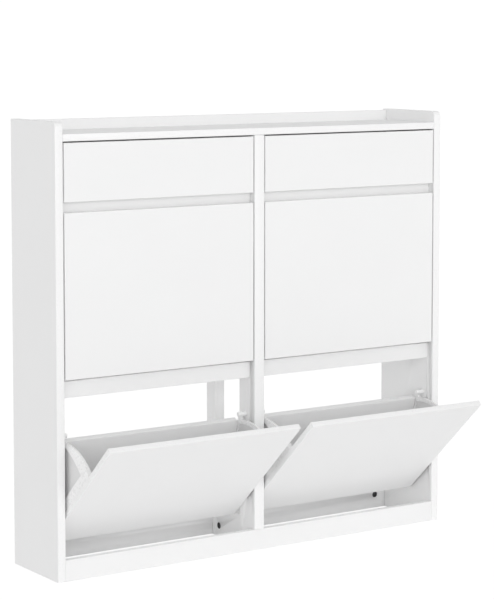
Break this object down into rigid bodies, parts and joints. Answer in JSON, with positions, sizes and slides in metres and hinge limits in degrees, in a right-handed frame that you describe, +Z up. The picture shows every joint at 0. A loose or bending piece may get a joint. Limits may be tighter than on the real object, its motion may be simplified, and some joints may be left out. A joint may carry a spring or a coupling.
{
  "type": "shoe cabinet",
  "caption": "Slim wall-side shoe cabinet in white laminated board: drawers above, tilt-out shoe bins below, and a railed top.",
  "frame": {"origin": "on the floor, at the middle of the cabinet's footprint (the footprint of the carcass, without the two open lower flaps)", "axes": "+X to the cabinet's right as seen by someone facing its front, +Y towards the wall, so that the front faces -Y, +Z up"},
  "size_m": [1, 0.3697, 0.948],
  "materials": {
    "white_laminate": "satin melamine laminate on particle board",
    "white_plastic": "satin moulded plastic",
    "white_steel": "powder-coated sheet steel",
    "dark_zinc": "dark zinc casting"
  },
  "bodies": {
    "carcass": {"back_board_bottom": "white_laminate", "back_rail_top": "white_laminate", "cam_lock_board_left": "dark_zinc", "cam_lock_board_right": "dark_zinc", "cam_lock_rung": "dark_zinc", "cross_rail_left": "white_laminate", "cross_rail_right": "white_laminate", "divider_back_post": "white_laminate", "divider_front_post": "white_laminate", "divider_rung_bottom": "white_laminate", "divider_rung_middle": "white_laminate", "drawer_runner_left_left": "white_steel", "drawer_runner_left_right": "white_steel", "drawer_runner_right_left": "white_steel", "drawer_runner_right_right": "white_steel", "gallery_rail": "white_laminate", "grip_rail_left": "white_laminate", "grip_rail_right": "white_laminate", "plinth_front": "white_laminate", "side_panel_left": "white_laminate", "side_panel_right": "white_laminate", "stop_peg_lower_left_left": "white_plastic", "stop_peg_lower_left_right": "white_plastic", "stop_peg_lower_right_left": "white_plastic", "stop_peg_lower_right_right": "white_plastic", "stop_peg_upper_left_left": "white_plastic", "stop_peg_upper_left_right": "white_plastic", "stop_peg_upper_right_left": "white_plastic", "stop_peg_upper_right_right": "white_plastic", "top_panel": "white_laminate"},
    "drawer_left": {"drawer_left_back": "white_laminate", "drawer_left_bottom": "white_laminate", "drawer_left_front": "white_laminate", "drawer_left_side_left": "white_laminate", "drawer_left_side_right": "white_laminate"},
    "drawer_right": {"drawer_right_back": "white_laminate", "drawer_right_bottom": "white_laminate", "drawer_right_front": "white_laminate", "drawer_right_side_left": "white_laminate", "drawer_right_side_right": "white_laminate"},
    "flap_upper_left": {"flap_upper_left_back_wall": "white_laminate", "flap_upper_left_end_plate_left": "white_plastic", "flap_upper_left_end_plate_right": "white_plastic", "flap_upper_left_floor": "white_laminate", "flap_upper_left_front": "white_laminate"},
    "flap_upper_right": {"flap_upper_right_back_wall": "white_laminate", "flap_upper_right_end_plate_left": "white_plastic", "flap_upper_right_end_plate_right": "white_plastic", "flap_upper_right_floor": "white_laminate", "flap_upper_right_front": "white_laminate"},
    "flap_lower_left": {"flap_lower_left_back_wall": "white_laminate", "flap_lower_left_end_plate_left": "white_plastic", "flap_lower_left_end_plate_right": "white_plastic", "flap_lower_left_floor": "white_laminate", "flap_lower_left_front": "white_laminate"},
    "flap_lower_right": {"flap_lower_right_back_wall": "white_laminate", "flap_lower_right_end_plate_left": "white_plastic", "flap_lower_right_end_plate_right": "white_plastic", "flap_lower_right_floor": "white_laminate", "flap_lower_right_front": "white_laminate"}
  },
  "joints": [
    {"name": "drawer_left_slide", "type": "slide", "parent": "carcass", "child": "drawer_left", "axis": [0, -1, 0], "range_m": [0, 0.11]},
    {"name": "drawer_right_slide", "type": "slide", "parent": "carcass", "child": "drawer_right", "axis": [0, -1, 0], "range_m": [0, 0.11]},
    {"name": "flap_upper_left_tilt", "type": "hinge", "parent": "carcass", "child": "flap_upper_left", "pos_m": [-0.24725, -0.0775, 0.512], "axis": [1, 0, 0], "range_deg": [0, 47.4]},
    {"name": "flap_upper_right_tilt", "type": "hinge", "parent": "carcass", "child": "flap_upper_right", "pos_m": [0.24725, -0.0775, 0.512], "axis": [1, 0, 0], "range_deg": [0, 47.4]},
    {"name": "flap_lower_left_tilt", "type": "hinge", "parent": "carcass", "child": "flap_lower_left", "pos_m": [-0.24725, -0.0775, 0.143], "axis": [1, 0, 0], "range_deg": [-47.4, 0]},
    {"name": "flap_lower_right_tilt", "type": "hinge", "parent": "carcass", "child": "flap_lower_right", "pos_m": [0.24725, -0.0775, 0.143], "axis": [1, 0, 0], "range_deg": [-47.4, 0]}
  ]
}
